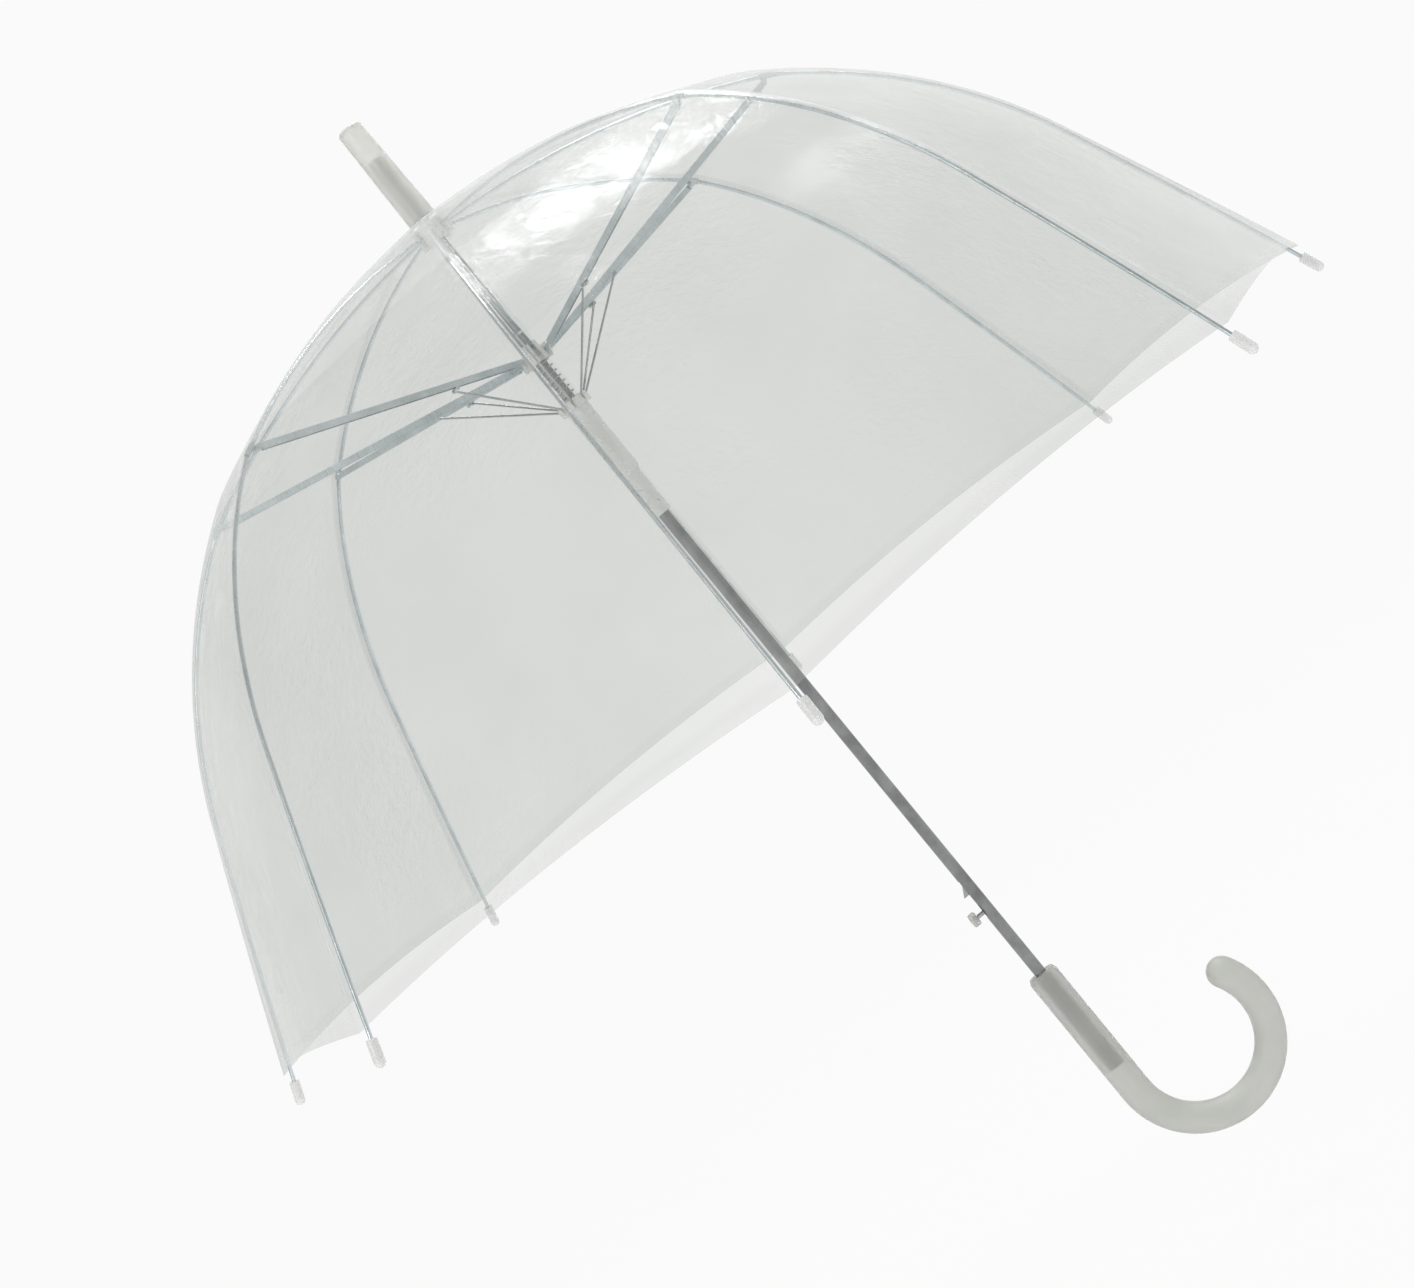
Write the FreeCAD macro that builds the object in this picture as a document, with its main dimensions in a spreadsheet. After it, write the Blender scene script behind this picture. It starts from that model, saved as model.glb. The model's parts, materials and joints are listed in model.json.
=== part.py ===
import FreeCAD, Part
import math
import os

from FreeCAD import Placement, Rotation, Vector

# Clear dome stick umbrella. Millimetres, +Z up along the shaft towards the ferrule.
# The origin is on the shaft axis in the middle of the straight grip of the handle.
# "depth" is measured down from the crown of the canopy film, "radius" out from the shaft axis.
# Rib 0 points along +X, the crook handle curls towards +X and the release button faces -X.

SIZES = {
    "apex_height": 665.0,
    "rib_count": 8,
    # shaft, handle and ferrule
    "shaft_radius": 4.0,
    "shaft_bore": 3.4,
    "shaft_top_above_apex": 48.0,
    "shaft_end_depth": 696.0,
    "handle_radius": 10.3,
    "handle_mouth_depth": 620.0,
    "crook_radius": 48.0,
    "crook_depth": 716.0,
    "crook_sweep": 210.0,
    "handle_lip_radius": 9.0,
    "handle_lip_length": 3.0,
    "ferrule_length": 75.0,
    "ferrule_base_radius": 9.8,
    "ferrule_tip_radius": 8.4,
    "ferrule_round": 2.5,
    # crown notch that carries the ribs
    "crown_radius": 12.2,
    "crown_top_depth": 4.5,
    "crown_height": 12.5,
    "crown_roof": 1.6,
    "slot_core_radius": 5.8,
    "crown_slot_width": 3.4,
    "wire_radius": 0.6,
    "crown_pivot_radius": 9.0,
    "crown_pivot_depth": 11.0,
    # ribs
    "rib_radius": 1.3,
    "joint_radius": 228.0,
    "joint_depth": 69.7,
    "upper_turn": 25.0,
    "knee_radius": 350.0,
    "knee_depth": 218.0,
    "lower_turn": 32.6,
    "tip_radius": 420.0,
    "tip_depth": 387.0,
    "tip_turn": 2.0,
    "eye_radius": 1.9,
    "crown_eye_width": 2.0,
    "crown_eye_bore": 0.7,
    "pin_radius": 0.6,
    "pin_clearance": 0.08,
    "fork_half_width": 1.5,
    "fork_height": 3.2,
    "fork_back": 6.8,
    "fork_front": 2.6,
    "fork_slot_half_width": 0.9,
    "fork_slot_back": 2.8,
    "lug_back": 4.5,
    "lug_drop": 3.5,
    "lug_radius": 1.7,
    "web_height": 2.6,
    "web_length": 4.0,
    "web_toe": 3.0,
    "tongue_half_width": 0.7,
    "tongue_height": 2.4,
    "tongue_length": 6.0,
    "tongue_eye_radius": 1.75,
    "rib_start": 4.4,
    "rib_end": 4.0,
    "cap_radius": 3.3,
    "cap_length": 16.0,
    # stretchers and the upper runner that carries them
    "hub_pivot_radius": 8.6,
    "hub_pivot_depth": 113.5,
    "stretcher_near": 1.9,
    "stretcher_width": 3.0,
    "stretcher_height": 4.2,
    "sheet_thickness": 0.5,
    "channel_start": 7.0,
    "channel_end_gap": 2.0,
    "hollow_start": 3.5,
    "tongue_width": 2.2,
    "stretcher_tongue_length": 14.0,
    "inner_eye_radius": 1.5,
    "rivet_radius": 1.2,
    "rivet_head": 0.5,
    "wire_attach": 65.0,
    "wire_drop": 3.0,
    "wire_lug_radius": 1.4,
    "hub_radius": 11.5,
    "hub_height": 9.0,
    "hub_collar_radius": 6.6,
    "hub_collar_height": 5.0,
    "hub_slot_width": 3.0,
    "hub_pin_overhang": 1.0,
    "hub_pin_length": 5.0,
    "wire_notch_radius": 9.2,
    "wire_notch_width": 3.6,
    "wire_notch_across": 0.5,
    # lower runner, its wires and the opening spring
    "runner_bore": 4.06,
    "runner_pivot_radius": 9.5,
    "runner_pivot_depth": 151.5,
    "runner_head_rise": 2.5,
    "runner_head_radius": 11.3,
    "runner_head_height": 6.0,
    "runner_slot_radius": 8.2,
    "runner_slot_width": 1.8,
    "trunnion_length": 3.8,
    "runner_grip_radius": 8.0,
    "runner_neck_length": 4.0,
    "runner_grip_end_depth": 205.5,
    "runner_tail_radius": 6.3,
    "runner_end_depth": 241.5,
    "catch_lip": 2.2,
    "catch_window_height": 10.5,
    "strut_wire_radius": 0.7,
    "wire_eye_radius": 1.3,
    "wire_eye_width": 1.2,
    "wire_end_width": 2.1,
    "spring_coil_radius": 5.7,
    "spring_wire_radius": 0.55,
    "spring_turns": 7.0,
    "spring_play": 0.2,
    # latch
    "hook_top_depth": 544.0,
    "hook_step_depth": 552.5,
    "hook_reach": 7.5,
    "button_depth": 567.0,
    "button_radius": 4.8,
    "button_outer": 13.8,
    "button_inner": 8.5,
    "button_round": 1.4,
    "stub_radius": 1.5,
    "latch_width": 2.4,
    "latch_thickness": 0.6,
    "latch_inset": 2.9,
    "stub_grip": 3.0,
    "latch_end_depth": 612.0,
    "latch_strip_rise": 3.0,
    "latch_slot_width": 3.6,
    "latch_slot_top_depth": 542.0,
    "latch_slot_end_depth": 571.0,
    # canopy film
    "film_thickness": 0.4,
    "film_gap": 3.0,
    "film_hole_radius": 9.6,
    "film_hole_depth": 1.8,
    "film_turn": 19.0,
    "film_end_turn": 1.5,
    "hem_radius": 414.7,
    "hem_depth": 366.5,
    "hem_scallop": 8.0,
    "film_split": 0.3,
}

doc = FreeCAD.newDocument("stick_umbrella")
sheet = doc.addObject("Spreadsheet::Sheet", "dims")
for row, (alias, value) in enumerate(SIZES.items(), start=1):
    sheet.set(f"A{row}", alias)
    sheet.set(f"B{row}", str(value))
    sheet.setAlias(f"B{row}", alias)
doc.recompute()

PITCH = 360.0 / SIZES["rib_count"]
FLAT = math.cos(math.radians(PITCH / 2))
OVERCUT = 1.0
DOWN = Vector(0, 0, -1)
ACROSS = Vector(0, 1, 0)


def size(alias):
    return sheet.get(alias)


def at(radius, depth, across=0.0):
    """A point of the rib plane: radius out from the axis, depth below the apex."""
    return Vector(radius, across, size("apex_height") - depth)


def turned(origin, direction):
    """A placement at origin whose local Z runs along direction."""
    return Placement(origin, Rotation(Vector(0, 0, 1), direction))


def level(point):
    """The height of a point as an angle-free placement on the shaft axis."""
    return Placement(Vector(0, 0, point.z), Rotation())


def swept_rod(label, arcs):
    """A round rod along arcs that follow each other."""
    spine = Part.Wire([arc.edge() for arc in arcs])
    way = arcs[0].tangent(arcs[0].start)
    section = Part.Wire(Part.makeCircle(size("rib_radius"), arcs[0].start, way))
    return shape_piece(label, spine.makePipeShell([section], True, False))


def solid(kind, label, placement, **sizes):
    """A Part primitive whose sizes are expressions in the sheet's aliases."""
    made = doc.addObject("Part::" + kind, label)
    for prop, expression in sizes.items():
        if isinstance(expression, str):
            for alias in sorted(SIZES, key=len, reverse=True):
                expression = expression.replace(f"[{alias}]", f"dims.{alias}")
            made.setExpression(prop, expression)
        else:
            setattr(made, prop, expression)
    made.Placement = placement
    return made


def cylinder(label, placement, radius, height):
    return solid("Cylinder", label, placement, Radius=radius, Height=height)


def crosswise(label, point, low_side, radius, width):
    """A cylinder square to the rib plane, from low_side beside a point over a width."""
    return cylinder(label, turned(point + ACROSS * low_side, ACROSS), radius, width)


def block(label, along, length, width, height, start=0.0, side=None):
    """A bar along a direction of the rib plane, centred on it, from start to start + length."""
    origin, direction = along
    tilt = Rotation(ACROSS, -math.degrees(math.atan2(direction.z, direction.x)))
    made = solid("Box", label, Placement(), Length=length, Width=width, Height=height)
    doc.recompute()
    low_side = -made.Width.Value / 2 if side is None else side
    corner = Vector(start, low_side, -made.Height.Value / 2)
    made.Placement = Placement(origin + tilt.multVec(corner), tilt)
    return made


def fused(label, *pieces):
    made = doc.addObject("Part::MultiFuse", label)
    made.Shapes = list(pieces)
    return made


def cut(label, base, *tools):
    tool = tools[0] if len(tools) == 1 else fused(label + "_tool", *tools)
    made = doc.addObject("Part::Cut", label)
    made.Base, made.Tool = base, tool
    return made


def shape_piece(label, shape):
    made = doc.addObject("Part::Feature", label)
    made.Shape = shape
    return made


def around(piece, index):
    """Turns a finished sub-part of rib 0 to the rib with this index."""
    piece.Placement = Placement(Vector(), Rotation(Vector(0, 0, 1), PITCH * index))
    return piece


class Arc:
    """A circular arc of the rib plane that bulges outwards, from its ends and its turn."""

    def __init__(self, start, end, turn):
        chord = end - start
        self.start, self.end, self.turn = start, end, turn
        self.radius = chord.Length / (2 * math.sin(math.radians(turn / 2)))
        outward = Vector(-chord.z, 0, chord.x).normalize()
        middle = (start + end) * 0.5
        self.centre = middle - outward * (self.radius * math.cos(math.radians(turn / 2)))
        self.middle = self.centre + outward * self.radius

    def tangent(self, point):
        spoke = point - self.centre
        return Vector(spoke.z, 0, -spoke.x).normalize()

    def length(self):
        return self.radius * math.radians(self.turn)

    def point(self, along):
        """The point this far along the arc from its start."""
        turn = Rotation(ACROSS, math.degrees(along / self.radius))
        return self.centre + turn.multVec(self.start - self.centre)

    def shortened(self, skip_start, skip_end):
        """The same arc without a length at its start and at its end."""
        left = self.length() - skip_start - skip_end
        return Arc(self.point(skip_start), self.point(self.length() - skip_end),
                   math.degrees(left / self.radius))

    def rod(self, label):
        """A round rod along the arc."""
        spoke = self.end - self.centre
        low = math.degrees(math.atan2(spoke.z, spoke.x))
        turn = Rotation(Vector(1, 0, 0), 90).multiply(Rotation(Vector(0, 0, 1), low))
        return solid("Torus", label, Placement(self.centre, turn), Radius1=self.radius,
                     Radius2="[rib_radius]", Angle3=self.turn)

    def offset(self, gap):
        """The arc moved outwards by a gap, keeping its turn."""
        ends = [p + (p - self.centre).normalize() * gap for p in (self.start, self.end)]
        return Arc(ends[0], ends[1], self.turn)

    def edge(self, squeeze=1.0):
        """The arc as an edge, with its radii from the shaft axis scaled."""
        points = [Vector(p.x * squeeze, 0, p.z) for p in (self.start, self.middle, self.end)]
        return Part.Arc(*points).toShape()


CROWN_PIVOT = at(size("crown_pivot_radius"), size("crown_pivot_depth"))
JOINT = at(size("joint_radius"), size("joint_depth"))
KNEE = at(size("knee_radius"), size("knee_depth"))
TIP = at(size("tip_radius"), size("tip_depth"))
UPPER = Arc(CROWN_PIVOT, JOINT, size("upper_turn"))
LOWER = Arc(JOINT, KNEE, size("lower_turn"))
END = Arc(KNEE, TIP, size("tip_turn"))
RUN = UPPER.tangent(JOINT)
INWARD = Vector(RUN.z, 0, -RUN.x)
LUG = JOINT - RUN * size("lug_back") + INWARD * size("lug_drop")
HUB_PIVOT = at(size("hub_pivot_radius"), size("hub_pivot_depth"))
RUNNER_PIVOT = at(size("runner_pivot_radius"), size("runner_pivot_depth"))
STRETCH = (LUG - HUB_PIVOT).normalize()
STRETCH_UNDER = Vector(STRETCH.z, 0, -STRETCH.x)
WIRE_END = HUB_PIVOT + STRETCH * size("wire_attach") + STRETCH_UNDER * size("wire_drop")


def shaft():
    """Steel tube from inside the ferrule to inside the grip, with the latch slot."""
    top = at(0, -size("shaft_top_above_apex"))
    long = "[shaft_end_depth] + [shaft_top_above_apex]"
    tube = cylinder("shaft_outside", turned(top, DOWN), "[shaft_radius]", long)
    hole = cylinder("shaft_hole", turned(top, DOWN), "[shaft_bore]", long)
    slot = solid(
        "Box", "shaft_slot",
        Placement(at(-size("shaft_radius") - OVERCUT, size("latch_slot_end_depth"),
                     -size("latch_slot_width") / 2), Rotation()),
        Length=size("shaft_radius") + OVERCUT, Width="[latch_slot_width]",
        Height="[latch_slot_end_depth] - [latch_slot_top_depth]",
    )
    return cut("shaft", tube, hole, slot)


def crook_handle():
    """Moulded crook: straight grip, half-round crook and rounded end."""
    mouth = at(0, size("handle_mouth_depth"))
    lip = solid(
        "Cone", "handle_lip", turned(mouth, DOWN), Radius1="[handle_lip_radius]",
        Radius2="[handle_radius]", Height="[handle_lip_length]",
    )
    start = at(0, size("handle_mouth_depth") + size("handle_lip_length"))
    grip = cylinder("handle_grip", turned(start, DOWN), "[handle_radius]",
                    "[crook_depth] - [handle_mouth_depth] - [handle_lip_length]")
    centre = at(size("crook_radius"), size("crook_depth"))
    flat = Rotation(Vector(1, 0, 0), 90).multiply(Rotation(Vector(0, 0, 1), 180))
    crook = solid("Torus", "handle_crook", Placement(centre, flat), Radius1="[crook_radius]",
                  Radius2="[handle_radius]", Angle3="[crook_sweep]")
    sweep = math.radians(180 + size("crook_sweep"))
    end = centre + Vector(math.cos(sweep), 0, math.sin(sweep)) * size("crook_radius")
    knob = solid("Sphere", "handle_end", Placement(end, Rotation()), Radius="[handle_radius]")
    socket = cylinder("handle_socket", turned(mouth, DOWN), "[shaft_radius]",
                      "[shaft_end_depth] - [handle_mouth_depth]")
    return cut("crook_handle", fused("handle_solid", lip, grip, crook, knob), socket)


def ferrule():
    """Tapered plastic ferrule over the top of the shaft, with a rounded end."""
    base = at(0, 0)
    taper = solid("Cone", "ferrule_taper", Placement(base, Rotation()),
                  Radius1="[ferrule_base_radius]", Radius2="[ferrule_tip_radius]",
                  Height="[ferrule_length]")
    doc.recompute()
    rounded = doc.addObject("Part::Fillet", "ferrule_rounded")
    rounded.Base = taper
    top = [i for i, edge in enumerate(taper.Shape.Edges, start=1)
           if edge.CenterOfMass.z > base.z + size("ferrule_length") / 2 and edge.isClosed()]
    rounded.Edges = [(i, size("ferrule_round"), size("ferrule_round")) for i in top]
    socket = cylinder("ferrule_socket", Placement(base, Rotation()), "[shaft_radius]",
                      "[shaft_top_above_apex]")
    return cut("ferrule", rounded, socket)


def slots(label, top_depth, low_radius, width, height, across=0.0):
    """One radial slot for each rib, cut outwards from low_radius."""
    made = []
    for index in range(int(size("rib_count"))):
        slot = solid("Box", f"{label}_{index}", Placement(), Length="2 * [hub_radius]",
                     Width=width, Height=height)
        doc.recompute()
        turn = Rotation(Vector(0, 0, 1), PITCH * index)
        corner = at(low_radius, top_depth, across - slot.Width.Value / 2) \
            - Vector(0, 0, slot.Height.Value)
        slot.Placement = Placement(turn.multVec(corner), turn)
        made.append(slot)
    return fused(label, *made)


def ring(label, pivot, radius="[wire_radius]"):
    """A wire ring round the shaft through a pivot point."""
    return solid("Torus", label, level(pivot), Radius1=pivot.x, Radius2=radius)


def crown_notch():
    """Notched plastic crown that the rib ends hang in."""
    top = at(0, size("crown_top_depth"))
    disc = cylinder("crown_disc", turned(top, DOWN), "[crown_radius]", "[crown_height]")
    hole = cylinder("crown_hole", turned(top, DOWN), "[shaft_radius]", "[crown_height]")
    gaps = slots("crown_slots", size("crown_top_depth") + size("crown_roof"),
                 size("slot_core_radius"), "[crown_slot_width]", "[crown_height]")
    groove = ring("crown_groove", CROWN_PIVOT)
    return cut("crown_notch", disc, hole, gaps, groove)


def crown_wire():
    return ring("crown_wire", CROWN_PIVOT)


def rib_upper(index):
    """Upper rib rod with its crown eye, and at its outer end the fork and stretcher lug."""
    name = f"rib_upper_{index}"
    half = size("fork_half_width")
    rod = UPPER.rod(f"{name}_rod")
    eye = crosswise(f"{name}_eye", CROWN_PIVOT, -size("crown_eye_width") / 2, "[eye_radius]",
                    "[crown_eye_width]")
    fork = block(f"{name}_fork", (JOINT, RUN), "[fork_back] + [fork_front]",
                 "2 * [fork_half_width]", "[fork_height]", -size("fork_back"))
    toe = JOINT - RUN * size("web_toe")
    web = block(f"{name}_web", (LUG, (toe - LUG).normalize()), "[web_length]",
                "2 * [fork_half_width]", "[web_height]")
    lug = crosswise(f"{name}_lug", LUG, -half, "[lug_radius]", "2 * [fork_half_width]")
    bore = crosswise(f"{name}_bore", CROWN_PIVOT, -size("crown_eye_width"), "[crown_eye_bore]",
                     "2 * [crown_eye_width]")
    mouth = block(f"{name}_slot", (JOINT, RUN), "[fork_slot_back] + 2 * [fork_front]",
                  "2 * [fork_slot_half_width]", "3 * [fork_height]", -size("fork_slot_back"))
    open_fork = cut(f"{name}_open", fused(f"{name}_solid", rod, eye, fork, web, lug), bore, mouth)
    pin = crosswise(f"{name}_pin", JOINT, -half, "[pin_radius]", "2 * [fork_half_width]")
    return around(fused(name, open_fork, pin), index)


def rib_lower(index):
    """Lower rib rod with the tongue that turns on the fork's pin."""
    name = f"rib_lower_{index}"
    way = LOWER.tangent(JOINT)
    rod = swept_rod(f"{name}_rod", [LOWER.shortened(size("rib_start"), 0.0),
                                    END.shortened(0.0, size("rib_end"))])
    half = size("tongue_half_width")
    tongue = block(f"{name}_tongue", (JOINT, way), "[tongue_length]", "2 * [tongue_half_width]",
                   "[tongue_height]")
    eye = crosswise(f"{name}_eye", JOINT, -half, "[tongue_eye_radius]", "2 * [tongue_half_width]")
    bore = crosswise(f"{name}_bore", JOINT, -2 * half, "[pin_radius] + [pin_clearance]",
                     "4 * [tongue_half_width]")
    return around(cut(name, fused(f"{name}_solid", rod, tongue, eye), bore), index)


def rib_tip(index):
    """Bullet cap pushed over the end of a rib."""
    name = f"rib_tip_{index}"
    way = END.tangent(TIP)
    mouth = TIP - way * size("cap_length")
    barrel = cylinder(f"{name}_barrel", turned(mouth, way), "[cap_radius]",
                      "[cap_length] - [cap_radius]")
    nose = solid("Sphere", f"{name}_nose",
                 Placement(TIP - way * size("cap_radius"), Rotation()), Radius="[cap_radius]")
    socket_start = END.length() - size("cap_length") - OVERCUT
    socket = swept_rod(f"{name}_socket", [END.shortened(socket_start, size("rib_end"))])
    return around(cut(name, fused(f"{name}_solid", barrel, nose), socket), index)


def stretcher(index):
    """Folded steel channel from the upper runner to the rib's lug, beside the rib plane."""
    name = f"stretcher_{index}"
    long = (LUG - HUB_PIVOT).Length
    near = size("stretcher_near")
    line = (HUB_PIVOT, STRETCH)
    start = size("channel_start")
    channel = block(f"{name}_channel", line, long - start - size("channel_end_gap"),
                    "[stretcher_width]", "[stretcher_height]", start, near)
    hollow = block(f"{name}_hollow", line, long, "[stretcher_width] - 2 * [sheet_thickness]",
                   "[stretcher_height]", size("hollow_start"), near + size("sheet_thickness"))
    hollow.Placement.move(STRETCH_UNDER * size("sheet_thickness"))
    middle = near + (size("stretcher_width") - size("tongue_width")) / 2
    tongue = block(f"{name}_tongue", line, "[stretcher_tongue_length]", "[tongue_width]",
                   "[tongue_height]", 0.0, middle)
    inner_eye = crosswise(f"{name}_inner_eye", HUB_PIVOT, middle, "[inner_eye_radius]",
                          "[tongue_width]")
    outer_eye = crosswise(f"{name}_outer_eye", LUG, near, "[stretcher_height] / 2",
                          "[stretcher_width]")
    rivet = crosswise(f"{name}_rivet", LUG, near, "[rivet_radius]",
                      "[stretcher_width] + [rivet_head]")
    wire_lug = crosswise(f"{name}_wire_lug", WIRE_END, near, "[wire_lug_radius]",
                         "[stretcher_width]")
    bore = crosswise(f"{name}_bore", HUB_PIVOT, 0.0, "[pin_radius] + [pin_clearance]",
                     "4 * [stretcher_width]")
    folded = cut(f"{name}_folded", channel, hollow)
    body = fused(f"{name}_solid", folded, tongue, inner_eye, outer_eye, rivet, wire_lug)
    return around(cut(name, body, bore), index)


def pins(label, pivot, low_side, length):
    """One hinge pin across each slot of a runner."""
    made = []
    for index in range(int(size("rib_count"))):
        turn = Placement(Vector(), Rotation(Vector(0, 0, 1), PITCH * index))
        place = turn.multiply(turned(pivot + ACROSS * low_side, ACROSS))
        made.append(cylinder(f"{label}_{index}", place, "[pin_radius]", length))
    return fused(label, *made)


def hub_pins():
    """The stretchers' hinge pins in the upper runner."""
    low_side = size("stretcher_near") - size("hub_pin_overhang")
    return pins("hub_pins", HUB_PIVOT, low_side, "[hub_pin_length]")


def upper_runner(hinge_pins):
    """Sliding hub that the inner ends of the stretchers turn in, with a notch for each wire."""
    top = at(0, size("hub_pivot_depth") - size("hub_height") / 2)
    disc = cylinder("hub_disc", turned(top, DOWN), "[hub_radius]", "[hub_height]")
    collar_top = top - DOWN * size("hub_collar_height")
    collar = cylinder("hub_collar", turned(collar_top, DOWN), "[hub_collar_radius]",
                      size("hub_collar_height") + OVERCUT)
    hole = cylinder("hub_hole", turned(collar_top, DOWN), "[runner_bore]",
                    "[hub_height] + [hub_collar_height]")
    depth = size("hub_pivot_depth") - size("hub_height")
    middle = size("stretcher_near") + size("stretcher_width") / 2
    gaps = slots("hub_slots", depth, size("slot_core_radius"),
                 "[hub_slot_width]", "2 * [hub_height]", middle)
    notches = slots("hub_notches", depth, size("wire_notch_radius"), "[wire_notch_width]",
                    "2 * [hub_height]", size("wire_notch_across"))
    body = fused("hub_solid", disc, collar)
    return cut("upper_runner", body, hole, gaps, notches, hinge_pins)


def lower_runner():
    """Long moulded sleeve: slotted head with a trunnion across each slot, thick grip, thin tail."""
    head_depth = size("runner_pivot_depth") - size("runner_head_rise")
    head_top, grip_end = at(0, head_depth), at(0, size("runner_grip_end_depth"))
    head = cylinder("runner_head", turned(head_top, DOWN), "[runner_head_radius]",
                    "[runner_head_height]")
    grip = cylinder("runner_grip", turned(head_top, DOWN), "[runner_grip_radius]",
                    "[runner_grip_end_depth] - [runner_pivot_depth] + [runner_head_rise]")
    neck = solid("Cone", "runner_neck", turned(grip_end, DOWN),
                 Radius1="[runner_grip_radius]", Radius2="[runner_tail_radius]",
                 Height="[runner_neck_length]")
    tail = cylinder("runner_tail", turned(grip_end, DOWN),
                    "[runner_tail_radius]", "[runner_end_depth] - [runner_grip_end_depth]")
    hole = cylinder("runner_hole", turned(head_top, DOWN), "[runner_bore]",
                    "[runner_end_depth] - [runner_pivot_depth] + 2 * [runner_head_height]")
    gaps = slots("runner_slots", head_depth - size("runner_head_rise"),
                 size("runner_slot_radius"), "[runner_slot_width]", "2 * [runner_head_height]")
    window_low = at(-size("runner_tail_radius") - OVERCUT,
                    size("runner_end_depth") - size("catch_lip"), -size("latch_slot_width") / 2)
    window = solid("Box", "catch_window", Placement(window_low, Rotation()),
                   Length="[runner_tail_radius]", Width="[latch_slot_width]",
                   Height="[catch_window_height]")
    body = fused("runner_solid", head, grip, neck, tail)
    trunnions = pins("runner_trunnions", RUNNER_PIVOT, -size("trunnion_length") / 2,
                     "[trunnion_length]")
    return fused("lower_runner", cut("runner_open", body, hole, gaps, window), trunnions)


def strut_wire(index):
    """Thin wire from the lower runner to beside its stretcher, with an eye at each end."""
    name = f"strut_wire_{index}"
    way = (WIRE_END - RUNNER_PIVOT).normalize()
    rod = cylinder(f"{name}_rod", turned(RUNNER_PIVOT, way), "[strut_wire_radius]",
                   (WIRE_END - RUNNER_PIVOT).Length)
    half = size("wire_eye_width") / 2
    low = crosswise(f"{name}_eye", RUNNER_PIVOT, -half, "[wire_eye_radius]", "[wire_eye_width]")
    high = crosswise(f"{name}_end", WIRE_END, -half, "[wire_eye_radius]", "[wire_end_width]")
    bore = crosswise(f"{name}_bore", RUNNER_PIVOT, -2 * half, "[pin_radius] + [pin_clearance]",
                     "2 * [wire_eye_width]")
    return around(cut(name, fused(f"{name}_solid", rod, low, high), bore), index)


def opening_spring():
    """Compression spring round the shaft between the two runners, wound in tilted half turns."""
    top = size("hub_pivot_depth") + size("hub_height") / 2
    bottom = size("runner_pivot_depth") - size("runner_head_rise")
    end_gap = size("spring_wire_radius") + size("spring_play")
    half_turns = int(2 * size("spring_turns"))
    rise = (bottom - top - 2 * end_gap) / half_turns
    coil = size("spring_coil_radius")
    tilt = Rotation(ACROSS, math.degrees(math.atan2(rise / 2, coil)))
    made = []
    for index in range(half_turns):
        centre = at(0, bottom - end_gap - (index + 0.5) * rise)
        turn = Rotation(Vector(0, 0, 1), 180.0 * index).multiply(tilt)
        made.append(solid("Torus", f"spring_half_turn_{index}", Placement(centre, turn),
                          Radius1=math.hypot(coil, rise / 2), Radius2="[spring_wire_radius]",
                          Angle3=180.0))
    return fused("opening_spring", *made)


def latch_spring():
    """Bent strip inside the shaft: the hook that catches the runner and the button's stub."""
    half = size("latch_width") / 2
    wall = -size("latch_inset")
    long = "[latch_end_depth] - [hook_top_depth] + [latch_strip_rise]"
    strip = solid("Box", "latch_strip", Placement(at(wall, size("latch_end_depth"), -half),
                                                  Rotation()),
                  Length="[latch_thickness]", Width="[latch_width]", Height=long)
    step, top = size("hook_step_depth"), size("hook_top_depth")
    ramp = Part.makePolygon([at(wall, top, -half), at(-size("hook_reach"), step, -half),
                             at(wall, step, -half), at(wall, top, -half)])
    hook = shape_piece("latch_hook", Part.Face(ramp).extrude(ACROSS * size("latch_width")))
    outward = Vector(-1, 0, 0)
    stub = cylinder("latch_stub", turned(at(wall, size("button_depth")), outward),
                    "[stub_radius]", "[button_inner] - [latch_inset] + [stub_grip]")
    return fused("latch_spring", strip, hook, stub)


def release_button():
    """Round cap pushed over the stub of the latch spring."""
    outward = Vector(-1, 0, 0)
    inner = at(-size("button_inner"), size("button_depth"))
    body = cylinder("button_body", turned(inner, outward), "[button_radius]",
                    "[button_outer] - [button_inner]")
    doc.recompute()
    rounded = doc.addObject("Part::Fillet", "button_rounded")
    rounded.Base = body
    rims = [i for i, edge in enumerate(body.Shape.Edges, start=1) if edge.isClosed()]
    rounded.Edges = [(i, size("button_round"), size("button_round")) for i in rims]
    socket = cylinder("button_socket", turned(inner, outward), "[stub_radius]", "[stub_grip]")
    return cut("release_button", rounded, socket)


def film_strip(edges, low_angle, high_angle):
    """A flat-sided strip of film between two azimuths of one gap between ribs.

    The film is straight across from rib to rib, so each gap is its mid profile pushed sideways.
    """
    wide = size("tip_radius")
    thick = size("film_thickness")
    outline = Part.Wire(edges)
    inner = outline.copy()
    inner.translate(Vector(0, 0, -thick))
    ends = [Part.makeLine(a.Point, b.Point)
            for a, b in ((outline.OrderedVertexes[i], inner.OrderedVertexes[i]) for i in (0, -1))]
    face = Part.Face(Part.Wire([*outline.OrderedEdges, ends[1],
                                *reversed(inner.OrderedEdges), ends[0]]))
    face.translate(ACROSS * -wide)
    prism = face.extrude(ACROSS * 2 * wide)
    wedge = Part.makeCylinder(3 * wide, 3 * wide, Vector(0, 0, -wide), Vector(0, 0, 1),
                              high_angle - low_angle)
    wedge.rotate(Vector(), Vector(0, 0, 1), low_angle)
    return prism.common(wedge)


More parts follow.
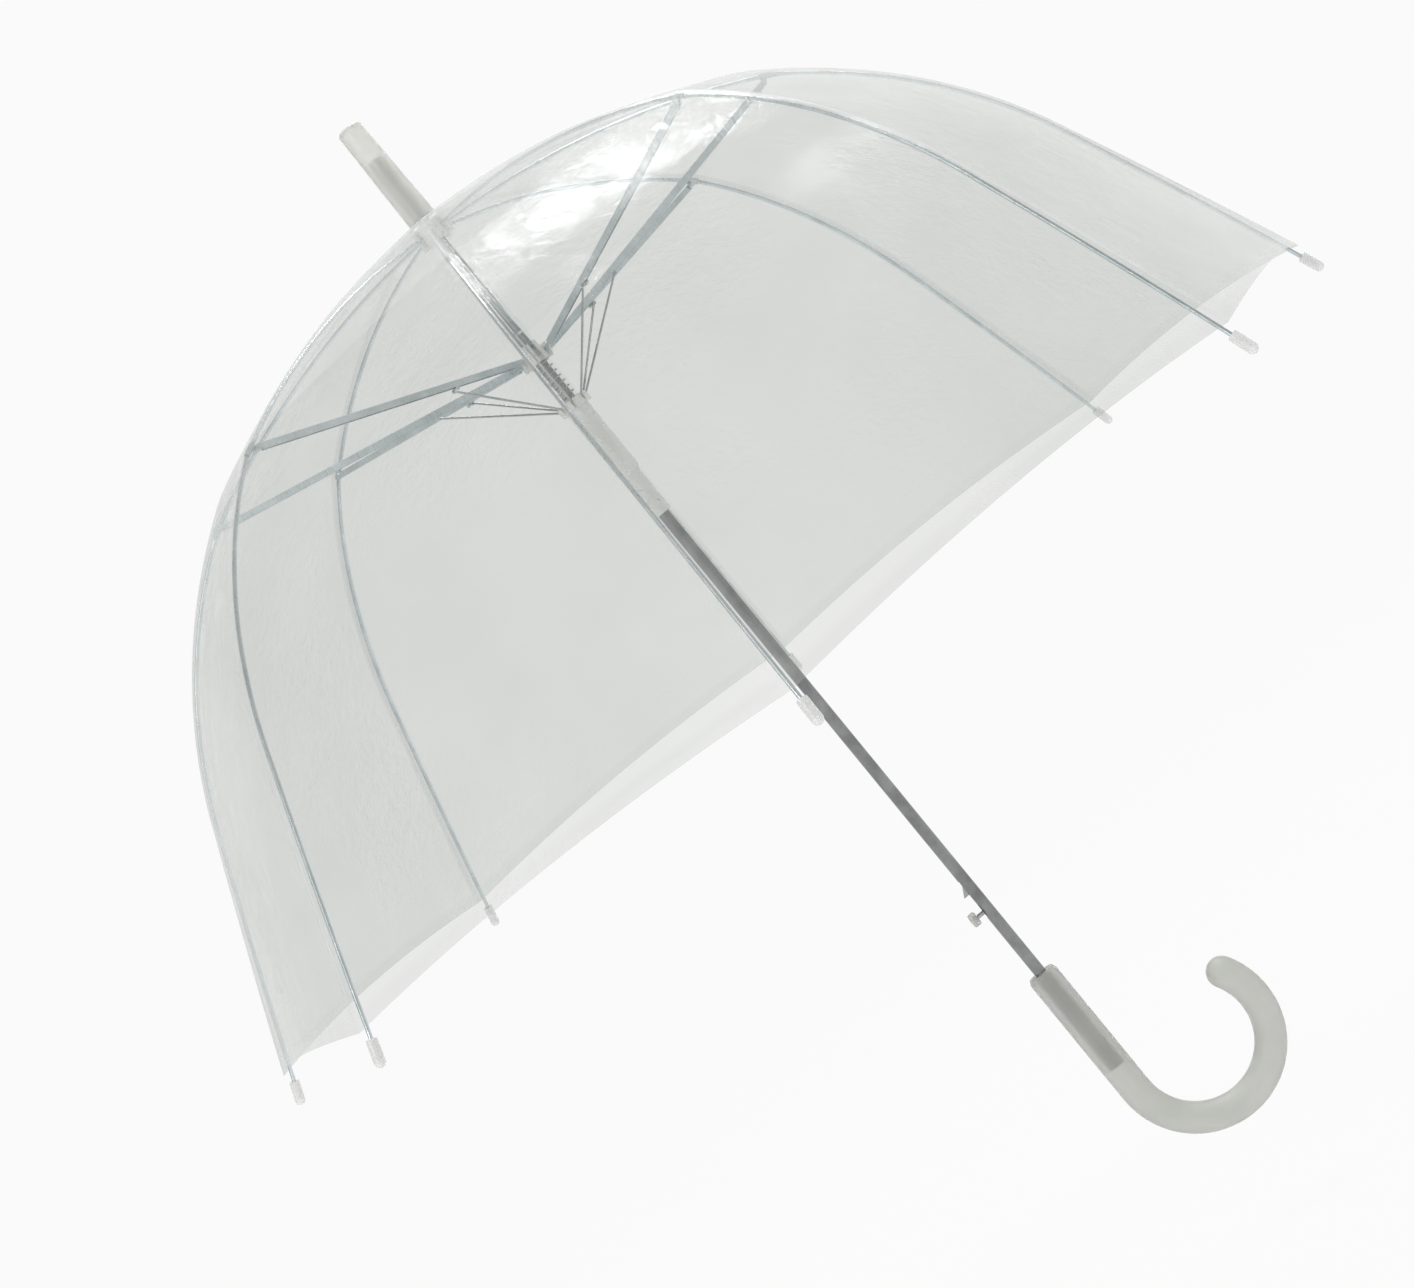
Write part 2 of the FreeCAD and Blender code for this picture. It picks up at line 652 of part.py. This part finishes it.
FILM_HOLE = at(size("film_hole_radius"), size("film_hole_depth"))
FILM_JOINT = LOWER.offset(size("film_gap")).start
FILM_UPPER = Arc(FILM_HOLE, FILM_JOINT, size("film_turn"))
FILM_LOWER = LOWER.offset(size("film_gap"))
FILM_HEM = at(size("hem_radius") + size("film_gap"), size("hem_depth"))
FILM_END = Arc(FILM_LOWER.end, FILM_HEM, size("film_end_turn"))


def canopy_top():
    """The film from the crown to the ring of rib joints, one flat-sided gap at a time."""
    gap = film_strip([FILM_UPPER.edge(FLAT)], -PITCH / 2, PITCH / 2)
    pieces = []
    for index in range(int(size("rib_count"))):
        copy = gap.copy()
        copy.rotate(Vector(), Vector(0, 0, 1), PITCH * (index + 0.5))
        pieces.append(copy)
    return shape_piece("canopy_top", pieces[0].multiFuse(pieces[1:]).removeSplitter())


def canopy_panel_shape():
    """The film either side of rib 0 below its joint, to the middle of each gap, with its hem."""
    edges = [FILM_LOWER.edge(FLAT), FILM_END.edge(FLAT)]
    halves = []
    half_chord = FILM_END.end.x * math.sin(math.radians(PITCH / 2))
    rise = size("hem_scallop")
    bow = (half_chord ** 2 + rise ** 2) / (2 * rise)
    for side in (-1, 1):
        low, high = sorted((0.0, -side * PITCH / 2))
        half = film_strip(edges, low, high)
        centre = Vector(0, 0, FILM_END.end.z + rise - bow)
        half = half.cut(Part.makeCylinder(bow, 2 * size("tip_radius"), centre, Vector(1, 0, 0)))
        half.rotate(Vector(), Vector(0, 0, 1), side * PITCH / 2)
        halves.append(half)
    panel = halves[0].fuse(halves[1])
    panel.translate(DOWN * size("film_split"))
    return panel


def canopy_panel(index, shape):
    return around(shape_piece(f"canopy_panel_{index}", shape), index)


def build():
    hinge_pins = hub_pins()
    pieces = [shaft(), crook_handle(), ferrule(), crown_notch(), crown_wire(), hinge_pins,
              upper_runner(hinge_pins), lower_runner(), opening_spring(),
              latch_spring(), release_button(), canopy_top()]
    panel = canopy_panel_shape()
    for index in range(int(size("rib_count"))):
        pieces += [rib_upper(index), rib_lower(index), rib_tip(index), stretcher(index),
                   strut_wire(index), canopy_panel(index, panel)]
    return pieces


def export(pieces):
    """Checks every object, then writes one STEP file for each sub-part."""
    doc.recompute()
    for made in doc.Objects:
        if {"Invalid", "Error"} & set(made.State):
            raise RuntimeError(f"{made.Label} did not compute: {made.State}")
    os.makedirs("parts", exist_ok=True)
    for piece in pieces:
        if piece.Shape.isNull() or not piece.Shape.isValid() or not piece.Shape.Solids:
            raise RuntimeError(f"{piece.Label} has no valid solid")
        piece.Shape.exportStep(f"parts/{piece.Label}.step")
        print(f"{piece.Label}: {len(piece.Shape.Solids)} solids, {piece.Shape.Volume:.1f} mm3")


export(build())
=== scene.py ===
import json
import math

import bpy
from mathutils import Matrix, Vector


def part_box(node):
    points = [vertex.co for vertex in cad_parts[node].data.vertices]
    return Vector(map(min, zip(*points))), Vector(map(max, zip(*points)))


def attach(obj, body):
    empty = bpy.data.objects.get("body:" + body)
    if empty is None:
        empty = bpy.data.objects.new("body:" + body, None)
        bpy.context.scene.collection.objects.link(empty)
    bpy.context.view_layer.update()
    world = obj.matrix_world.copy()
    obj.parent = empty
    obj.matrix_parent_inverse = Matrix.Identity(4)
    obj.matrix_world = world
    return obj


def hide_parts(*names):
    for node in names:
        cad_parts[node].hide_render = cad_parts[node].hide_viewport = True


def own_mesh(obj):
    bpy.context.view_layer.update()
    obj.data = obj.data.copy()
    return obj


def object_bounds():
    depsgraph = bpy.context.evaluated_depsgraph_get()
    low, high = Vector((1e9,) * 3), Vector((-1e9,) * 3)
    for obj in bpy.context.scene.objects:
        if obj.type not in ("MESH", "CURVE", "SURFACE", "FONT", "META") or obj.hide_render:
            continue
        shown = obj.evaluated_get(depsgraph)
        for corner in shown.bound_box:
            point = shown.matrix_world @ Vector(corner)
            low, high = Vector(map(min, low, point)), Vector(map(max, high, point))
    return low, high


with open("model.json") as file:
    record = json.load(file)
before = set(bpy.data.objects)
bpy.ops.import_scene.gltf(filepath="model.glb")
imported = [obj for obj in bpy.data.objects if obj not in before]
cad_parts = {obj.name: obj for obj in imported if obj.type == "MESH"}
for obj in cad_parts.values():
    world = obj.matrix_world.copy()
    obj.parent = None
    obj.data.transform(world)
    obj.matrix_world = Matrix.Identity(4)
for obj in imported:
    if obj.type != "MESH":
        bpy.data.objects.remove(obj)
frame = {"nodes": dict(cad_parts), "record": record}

cad_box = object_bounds()

# ---------------------------------------------------------------- sizes, in metres and degrees

JOINTS = {joint["name"]: joint for joint in frame["record"]["behaviour"]["joints"]}
RIBS = 8
PITCH = 2 * math.pi / RIBS

# Film profile in the plane of a rib: (radius from the axis, height), from crown to hem.
# It lies FILM_LIFT off the rib, square to the slope given for each point.
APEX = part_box("ferrule")[0][2]
HOLE = (0.0096, APEX - 0.0018)
RIB_JOINT = Vector(JOINTS["rib_bend_0"]["pos_m"])
KNEE = (0.350, APEX - 0.218)
HEM = (0.4147, APEX - 0.3665)
FILM_LIFT = 0.0028
JOINT_SLOPE, KNEE_SLOPE, HEM_SLOPE = 31, 66, 69
CROWN_TURN, SHOULDER_TURN, SKIRT_TURN = 19, 32.6, 1.6
CROWN_ROWS, SHOULDER_ROWS, SKIRT_ROWS = 28, 30, 28

# Film between the ribs.
BILLOW = 0.95                       # mid-gap radius as a share of the rib's radius
COLUMNS = 18
SEAM_COLUMNS = (0.0, 0.0015, 0.003, 0.0045, 0.006)
SEAM_HALF_WIDTH = 0.0055
HEM_SCALLOP = 0.007
SCALLOP_POWER = 6                   # how late down the profile the scallop sets in
SCALLOP_PULL_IN = 0.35              # how far the scallop moves in, as a share of its rise
HEM_WELD = 0.6
HEM_WELD_ROWS = 2
HAZE_RADIUS = 0.15

SPRING_TURNS = 7
SPRING_STEPS = 32                   # for each turn
SPRING_SIDES = 10
SPRING_WIRE_RADIUS = 0.00055

CAMERA_PLACE = (0.0222, -1.6953, 0.3446)
CAMERA_TARGET = (-0.0314, 0, 0.3417)
CAMERA_ROLL = 39.37
LENS_MM, SENSOR_MM = 67.82, 36
CAMERA_REACH = 400

FLOOR_DROP = 0.06
FLOOR_REACH = 90.0
FLOOR_GLOW = 0.970
BACKDROP_GLOW = 0.956
ROOM_GLOW = 0.45

# Name, place, target, width, height and power in watts.
LIGHTS = (
    ("overhead", (0.55, 0.50, 1.95), (0.1, -0.2, 0.58), 0.56, 0.46, 24),
    ("window", (1.25, -0.20, 1.74), (0.2, -0.25, 0.5), 0.26, 0.34, 5),
    ("front", (-1.5, -2.2, 1.5), (0, 0, 0.3), 1.2, 1.2, 22),
)


# ---------------------------------------------------------------- materials

class Nodes:
    """A material's node tree, with a short way to add and join nodes."""

    def __init__(self, name):
        self.material = bpy.data.materials.new(name)
        self.material.use_nodes = True
        self.tree = self.material.node_tree
        self.tree.nodes.clear()
        self.output = self.add("OutputMaterial")

    def add(self, kind, values=None, **settings):
        node = self.tree.nodes.new("ShaderNode" + kind)
        for key, value in settings.items():
            setattr(node, key, value)
        for key, value in (values or {}).items():
            node.inputs[key].default_value = value
        return node

    def join(self, source, target):
        self.tree.links.new(source, target)

    def noise(self, scale, detail, roughness=0.55, stretch=None):
        node = self.add("TexNoise", {"Scale": scale, "Detail": detail, "Roughness": roughness})
        source = self.add("TexCoord").outputs["Object"]
        if stretch:
            mapping = self.add("Mapping", {"Scale": stretch})
            self.join(source, mapping.inputs["Vector"])
            source = mapping.outputs["Vector"]
        self.join(source, node.inputs["Vector"])
        return node.outputs["Fac"]

    def span(self, source, low, high, start=0.3, end=0.7):
        """The source's stretch from start to end, spread from low to high."""
        node = self.add("MapRange", {"From Min": start, "From Max": end,
                                     "To Min": low, "To Max": high})
        self.join(source, node.inputs["Value"])
        return node.outputs["Result"]

    def blotches(self, source, dark, light):
        """A colour that wanders between dark and light."""
        node = self.add("ValToRGB")
        first, last = node.color_ramp.elements
        first.position, last.position = 0.35, 0.65
        first.color, last.color = (*dark, 1), (*light, 1)
        self.join(source, node.inputs["Fac"])
        return node.outputs["Color"]

    def bump(self, source, strength, distance):
        node = self.add("Bump", {"Strength": strength, "Distance": distance})
        self.join(source, node.inputs["Height"])
        return node.outputs["Normal"]

    def combine(self, operation, first, second, clamp=False):
        node = self.add("Math", operation=operation, use_clamp=clamp)
        self.join(first, node.inputs[0])
        self.join(second, node.inputs[1])
        return node.outputs["Value"]

    def mix(self, first, second):
        node = self.add("MixShader")
        self.join(first, node.inputs[1])
        self.join(second, node.inputs[2])
        return node

    def principled(self, **values):
        return self.add("BsdfPrincipled", {k.replace("_", " "): v for k, v in values.items()})

    def finish(self, shader):
        self.join(shader, self.output.inputs["Surface"])
        return self.material


def metal(name, dark, light, rough, metallic=1.0):
    """Drawn or plated steel: a cloudy colour, with fine upright streaks in gloss and surface."""
    n = Nodes(name)
    streak = n.noise(scale=900, detail=3.0, stretch=(1, 1, 0.04))
    cloud = n.noise(scale=60, detail=4.0)
    shader = n.principled(Metallic=metallic)
    n.join(n.blotches(cloud, dark, light), shader.inputs["Base Color"])
    n.join(n.span(streak, rough * 0.75, rough * 1.35), shader.inputs["Roughness"])
    n.join(n.bump(streak, strength=0.25, distance=0.0002), shader.inputs["Normal"])
    return n.finish(shader.outputs["BSDF"])


def frosted(name, dark, light, clear, rough=0.42, grain_scale=1600):
    """Milky translucent plastic with a fine moulded grain and faint clouding."""
    n = Nodes(name)
    cloud = n.noise(scale=35, detail=5.0)
    wear = n.noise(scale=220, detail=3.0)
    grain = n.noise(scale=grain_scale, detail=2.0)
    shader = n.principled(IOR=1.46, Transmission_Weight=clear, Subsurface_Weight=0.25,
                          Subsurface_Radius=(0.006, 0.006, 0.005), Subsurface_Scale=1.0)
    n.join(n.blotches(cloud, dark, light), shader.inputs["Base Color"])
    n.join(n.span(wear, rough * 0.85, rough * 1.2), shader.inputs["Roughness"])
    n.join(n.bump(grain, strength=0.12, distance=0.0002), shader.inputs["Normal"])
    return n.finish(shader.outputs["BSDF"])


def film(name):
    """Thin clear film: mostly see-through, with a glossy skin, haze, welds and small wrinkles."""
    n = Nodes(name)
    weld = n.add("Attribute", attribute_name="weld").outputs["Fac"]
    haze = n.add("Attribute", attribute_name="haze").outputs["Fac"]

    crinkle = n.noise(scale=55, detail=6.0, roughness=0.65)
    patches = n.noise(scale=7, detail=2.0)
    wrinkles = n.combine("MULTIPLY", n.span(crinkle, 0, 1, start=0.40, end=0.75),
                         n.span(patches, 0, 1, start=0.42, end=0.66))
    relief = n.combine("ADD", wrinkles, n.span(weld, 0, 0.35, start=0, end=1))
    normal = n.bump(relief, strength=0.60, distance=0.0028)

    skin = n.principled(IOR=1.5)
    tint = n.blotches(n.noise(scale=14, detail=3.0), (0.62, 0.63, 0.62), (0.74, 0.75, 0.74))
    n.join(tint, skin.inputs["Base Color"])
    n.join(n.span(crinkle, 0.12, 0.21), skin.inputs["Roughness"])
    n.join(normal, skin.inputs["Normal"])

    clear = n.add("BsdfTransparent")
    stain = n.blotches(n.noise(scale=5, detail=3.0), (0.838, 0.852, 0.838), (0.878, 0.886, 0.874))
    n.join(stain, clear.inputs["Color"])

    edge = n.add("LayerWeight", {"Blend": 0.30})
    n.join(normal, edge.inputs["Normal"])
    grazing = n.span(edge.outputs["Facing"], 0.10, 0.62, start=0.15, end=1.0)
    cloudy = n.combine("ADD", n.span(weld, 0.0, 0.20, start=0.0, end=1.0),
                       n.span(haze, 0.0, 0.42, start=0.0, end=1.0), clamp=True)
    layers = n.mix(clear.outputs["BSDF"], skin.outputs["BSDF"])
    n.join(n.combine("ADD", grazing, cloudy, clamp=True), layers.inputs["Fac"])
    return n.finish(layers.outputs["Shader"])


def paper(name):
    """The studio's white floor, lit through from below so that it meets the backdrop evenly."""
    n = Nodes(name)
    matt = n.principled(Roughness=0.9, Specular_IOR_Level=0.1)
    fibres = n.blotches(n.noise(scale=2, detail=2.0), (0.85, 0.85, 0.85), (0.87, 0.87, 0.87))
    n.join(fibres, matt.inputs["Base Color"])
    glow = n.add("Emission", {"Strength": FLOOR_GLOW})
    layers = n.mix(glow.outputs["Emission"], matt.outputs["BSDF"])
    layers.inputs["Fac"].default_value = 0.03
    return n.finish(layers.outputs["Shader"])


# One for each of the record's material slots, and one for the floor.
MATERIALS = {
    "clear_film": film("clear_film"),
    "steel_tube": metal("steel_tube", (0.19, 0.195, 0.195), (0.30, 0.305, 0.305), rough=0.16),
    "rib_steel": metal("rib_steel", (0.50, 0.56, 0.58), (0.66, 0.72, 0.74), rough=0.30,
                       metallic=0.8),
    "steel_wire": metal("steel_wire", (0.30, 0.32, 0.32), (0.45, 0.47, 0.47), rough=0.3),
    "spring_steel": metal("spring_steel", (0.28, 0.29, 0.29), (0.48, 0.49, 0.49), rough=0.25),
    "frosted_plastic": frosted("frosted_plastic", (0.64, 0.65, 0.61), (0.70, 0.705, 0.67),
                               clear=0.55),
    "runner_plastic": frosted("runner_plastic", (0.93, 0.93, 0.90), (0.97, 0.97, 0.94),
                              clear=0.35, rough=0.3, grain_scale=400),
    "clear_cap": frosted("clear_cap", (0.90, 0.90, 0.88), (0.95, 0.95, 0.93),
                         clear=0.25, rough=0.30, grain_scale=250),
    "floor_paper": paper("floor_paper"),
}

# Nodes with a material of their own: the ferrule is the handle's frosted plastic with its colour
# painted paler, painted light on the top of the umbrella.
NODE_MATERIALS = {
    "ferrule": frosted("ferrule_plastic_painted_light", (0.80, 0.81, 0.77), (0.86, 0.865, 0.83), clear=0.55),
}


def dress_cad():
    """Every CAD node but the clear film gets its own finished material, or else the one of its
    slot.
    """
    for part in frame["record"]["subparts"]:
        if part["material_slot"] == "clear_film":
            continue
        material = NODE_MATERIALS.get(part["node"], MATERIALS[part["material_slot"]])
        for slot in frame["nodes"][part["node"]].material_slots:
            slot.material = material


def mesh_object(name, vertices, faces, material, smooth=True):
    mesh = bpy.data.meshes.new(name)
    mesh.from_pydata(vertices, [], faces)
    mesh.polygons.foreach_set("use_smooth", [smooth] * len(faces))
    mesh.update()
    mesh.materials.append(MATERIALS[material])
    made = bpy.data.objects.new(name, mesh)
    bpy.context.collection.objects.link(made)
    return made


# ---------------------------------------------------------------- canopy film

def arc_points(start, end, turn, count):
    """Points along an arc that bulges outwards and turns by this many degrees."""
    a, b = Vector(start), Vector(end)
    half = math.radians(turn) / 2
    radius = (b - a).length / (2 * math.sin(half))
    chord = (b - a).normalized()
    outward = Vector((-chord.y, chord.x))
    centre = (a + b) / 2 - outward * radius * math.cos(half)
    angles = [-2 * half * i / count for i in range(count + 1)]
    return [centre + Matrix.Rotation(angle, 2) @ (a - centre) for angle in angles]


def lifted(radius, height, slope):
    """A rib-plane point moved off the rib by the film's lift, square to a slope in degrees."""
    angle = math.radians(slope)
    return (radius + FILM_LIFT * math.sin(angle), height + FILM_LIFT * math.cos(angle))


FILM_JOINT = lifted(RIB_JOINT.x, RIB_JOINT.z, JOINT_SLOPE)
FILM_KNEE = lifted(*KNEE, KNEE_SLOPE)
FILM_HEM = lifted(*HEM, HEM_SLOPE)
UPPER_PROFILE = arc_points(HOLE, FILM_JOINT, CROWN_TURN, CROWN_ROWS)
SHOULDER = arc_points(FILM_JOINT, FILM_KNEE, SHOULDER_TURN, SHOULDER_ROWS)
SKIRT = arc_points(FILM_KNEE, FILM_HEM, SKIRT_TURN, SKIRT_ROWS)
LOWER_PROFILE = SHOULDER + SKIRT[1:]


def section(radius, side, across):
    """A point of the film's section at this rib radius, across from rib (0) to mid gap (1)."""
    half = PITCH / 2
    rib = Vector((radius, 0))
    direction = Vector((math.cos(half), side * math.sin(half)))
    mid = direction * radius * BILLOW
    flat_mid = direction * radius * math.cos(half)
    straight = rib.lerp(flat_mid, across)
    return straight + (mid - flat_mid) * (across * (2 - across))


def spread(radius):
    """Shares from rib to mid gap: narrow columns over the seam, even ones beyond it."""
    half_width = radius * math.sin(PITCH / 2)
    seam = [min(offset / half_width, j / COLUMNS) for j, offset in enumerate(SEAM_COLUMNS)]
    left = COLUMNS - len(SEAM_COLUMNS) + 1
    return seam + [seam[-1] + (1 - seam[-1]) * j / left for j in range(1, left + 1)]


def petal_grid(profile, side, scallop):
    """Rows of points on one side of rib 0, from rib to mid gap, down the profile."""
    rows = []
    top, bottom = profile[0], profile[-1]
    for point in profile:
        row = []
        share = (top.y - point.y) / (top.y - bottom.y)
        for across in spread(point.x):
            rise = scallop * (1 - (1 - across) ** 2) * share ** SCALLOP_POWER
            flat = section(point.x - rise * SCALLOP_PULL_IN, side, across)
            row.append(Vector((flat.x, flat.y, point.y + rise)))
        rows.append(row)
    return rows


def petal(name, profile, index, body, scallop=0.0):
    """The film either side of one rib: both halves meet in a crease along the rib."""
    turn = Matrix.Rotation(PITCH * index, 3, "Z")
    vertices, faces, weld, haze = [], [], [], []
    for side in (-1, 1):
        first = len(vertices)
        rows = petal_grid(profile, side, scallop)
        for i, row in enumerate(rows):
            for point in row:
                vertices.append(turn @ point)
                seam = max(0.0, 1 - (point.y / SEAM_HALF_WIDTH) ** 2)
                hem = HEM_WELD if scallop and i >= len(rows) - HEM_WELD_ROWS else 0.0
                weld.append(max(seam, hem))
                haze.append(max(0.0, 1 - point.x / HAZE_RADIUS))
        wide = COLUMNS + 1
        for i in range(len(rows) - 1):
            for j in range(COLUMNS):
                a = first + i * wide + j
                quad = (a, a + wide, a + wide + 1, a + 1)
                faces.append(quad if side > 0 else quad[::-1])
    piece = mesh_object(name, vertices, faces, "clear_film")
    piece.data.attributes.new("weld", "FLOAT", "POINT").data.foreach_set("value", weld)
    piece.data.attributes.new("haze", "FLOAT", "POINT").data.foreach_set("value", haze)
    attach(piece, body)
    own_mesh(piece)
    return piece


def canopy():
    for index in range(RIBS):
        top = petal(f"film_top_{index}", UPPER_PROFILE, index, f"rib_upper_{index}")
        side = petal(f"film_side_{index}", LOWER_PROFILE, index, f"rib_lower_{index}",
                     HEM_SCALLOP)
        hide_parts(f"canopy_panel_{index}")
        if index == 0:
            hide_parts("canopy_top")


# ---------------------------------------------------------------- opening spring

def opening_spring():
    """The coil between the runners, wound as one helix and carried by the lower runner."""
    low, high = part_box("opening_spring")
    wire = SPRING_WIRE_RADIUS
    coil = (high.x - low.x) / 2 - wire
    bottom, top = low.z + wire, high.z - wire
    steps, sides = SPRING_TURNS * SPRING_STEPS, SPRING_SIDES
    vertices, faces = [], []
    for i in range(steps + 1):
        angle = 2 * math.pi * SPRING_TURNS * i / steps
        out = Vector((math.cos(angle), math.sin(angle), 0))
        centre = out * coil + Vector((0, 0, bottom + (top - bottom) * i / steps))
        for k in range(sides):
            around = 2 * math.pi * k / sides
            vertices.append(centre + out * wire * math.cos(around)
                            + Vector((0, 0, wire * math.sin(around))))
    for i in range(steps):
        for k in range(sides):
            a, b = i * sides + k, i * sides + (k + 1) % sides
            faces.append((a, a + sides, b + sides, b))
    faces += [tuple(range(sides)), tuple(reversed(range(steps * sides, (steps + 1) * sides)))]
    piece = mesh_object("spring_coil", vertices, faces, "spring_steel")
    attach(piece, "lower_runner")
    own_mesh(piece)
    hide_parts("opening_spring")


# ---------------------------------------------------------------- stage and camera

def look(location, target, roll=0):
    """A matrix at location, facing target, its top leaned right by roll degrees."""
    forward = (Vector(target) - Vector(location)).normalized()
    up = Vector((0, 0, 1))
    up = (up - forward * up.dot(forward)).normalized()
    right = forward.cross(up)
    lean = math.radians(roll)
    top = up * math.cos(lean) + right * math.sin(lean)
    side = forward.cross(top)
    matrix = Matrix((side, top, -forward)).transposed().to_4x4()
    matrix.translation = Vector(location)
    return matrix


def camera():
    data = bpy.data.cameras.new("camera")
    data.sensor_width = SENSOR_MM
    data.lens = LENS_MM
    data.clip_end = CAMERA_REACH
    made = bpy.data.objects.new("camera", data)
    bpy.context.collection.objects.link(made)
    made.matrix_world = look(CAMERA_PLACE, CAMERA_TARGET, CAMERA_ROLL)
    bpy.context.scene.camera = made


def area_light(name, location, target, width, height, power):
    data = bpy.data.lights.new(name, "AREA")
    data.shape, data.size, data.size_y, data.energy = "RECTANGLE", width, height, power
    made = bpy.data.objects.new(name, data)
    bpy.context.collection.objects.link(made)
    made.matrix_world = look(location, target)


def surroundings():
    """A white backdrop behind the object and along the horizon, under a greyer room."""
    world = bpy.data.worlds.new("studio")
    bpy.context.scene.world = world
    world.use_nodes = True
    tree = world.node_tree
    direction = tree.nodes.new("ShaderNodeTexCoord")
    split = tree.nodes.new("ShaderNodeSeparateXYZ")
    tree.links.new(direction.outputs["Generated"], split.inputs["Vector"])
    brighter = tree.nodes.new("ShaderNodeMath")
    brighter.operation = "MAXIMUM"
    fades = [("Y", 0.45, 0.88, ROOM_GLOW, BACKDROP_GLOW),
             ("Z", 0.03, 0.32, BACKDROP_GLOW, ROOM_GLOW)]
    for place, (axis, start, end, low, high) in enumerate(fades):
        fade = tree.nodes.new("ShaderNodeMapRange")
        fade.interpolation_type = "SMOOTHSTEP"
        limits = {"From Min": start, "From Max": end, "To Min": low, "To Max": high}
        for key, value in limits.items():
            fade.inputs[key].default_value = value
        tree.links.new(split.outputs[axis], fade.inputs["Value"])
        tree.links.new(fade.outputs["Result"], brighter.inputs[place])
    background = tree.nodes["Background"]
    background.inputs["Color"].default_value = (1, 1, 1, 1)
    tree.links.new(brighter.outputs["Value"], background.inputs["Strength"])


def studio():
    surroundings()
    height = cad_box[0][2] - FLOOR_DROP
    corners = [(FLOOR_REACH * x, FLOOR_REACH * y, height)
               for x, y in ((-1, -1), (1, -1), (1, 1), (-1, 1))]
    floor = mesh_object("floor", corners, [(0, 1, 2, 3)], "floor_paper", smooth=False)
    for light in LIGHTS:
        area_light(*light)
    bpy.context.scene.view_settings.view_transform = "Standard"


# ---------------------------------------------------------------- run

dress_cad()
canopy()
opening_spring()
camera()
studio()
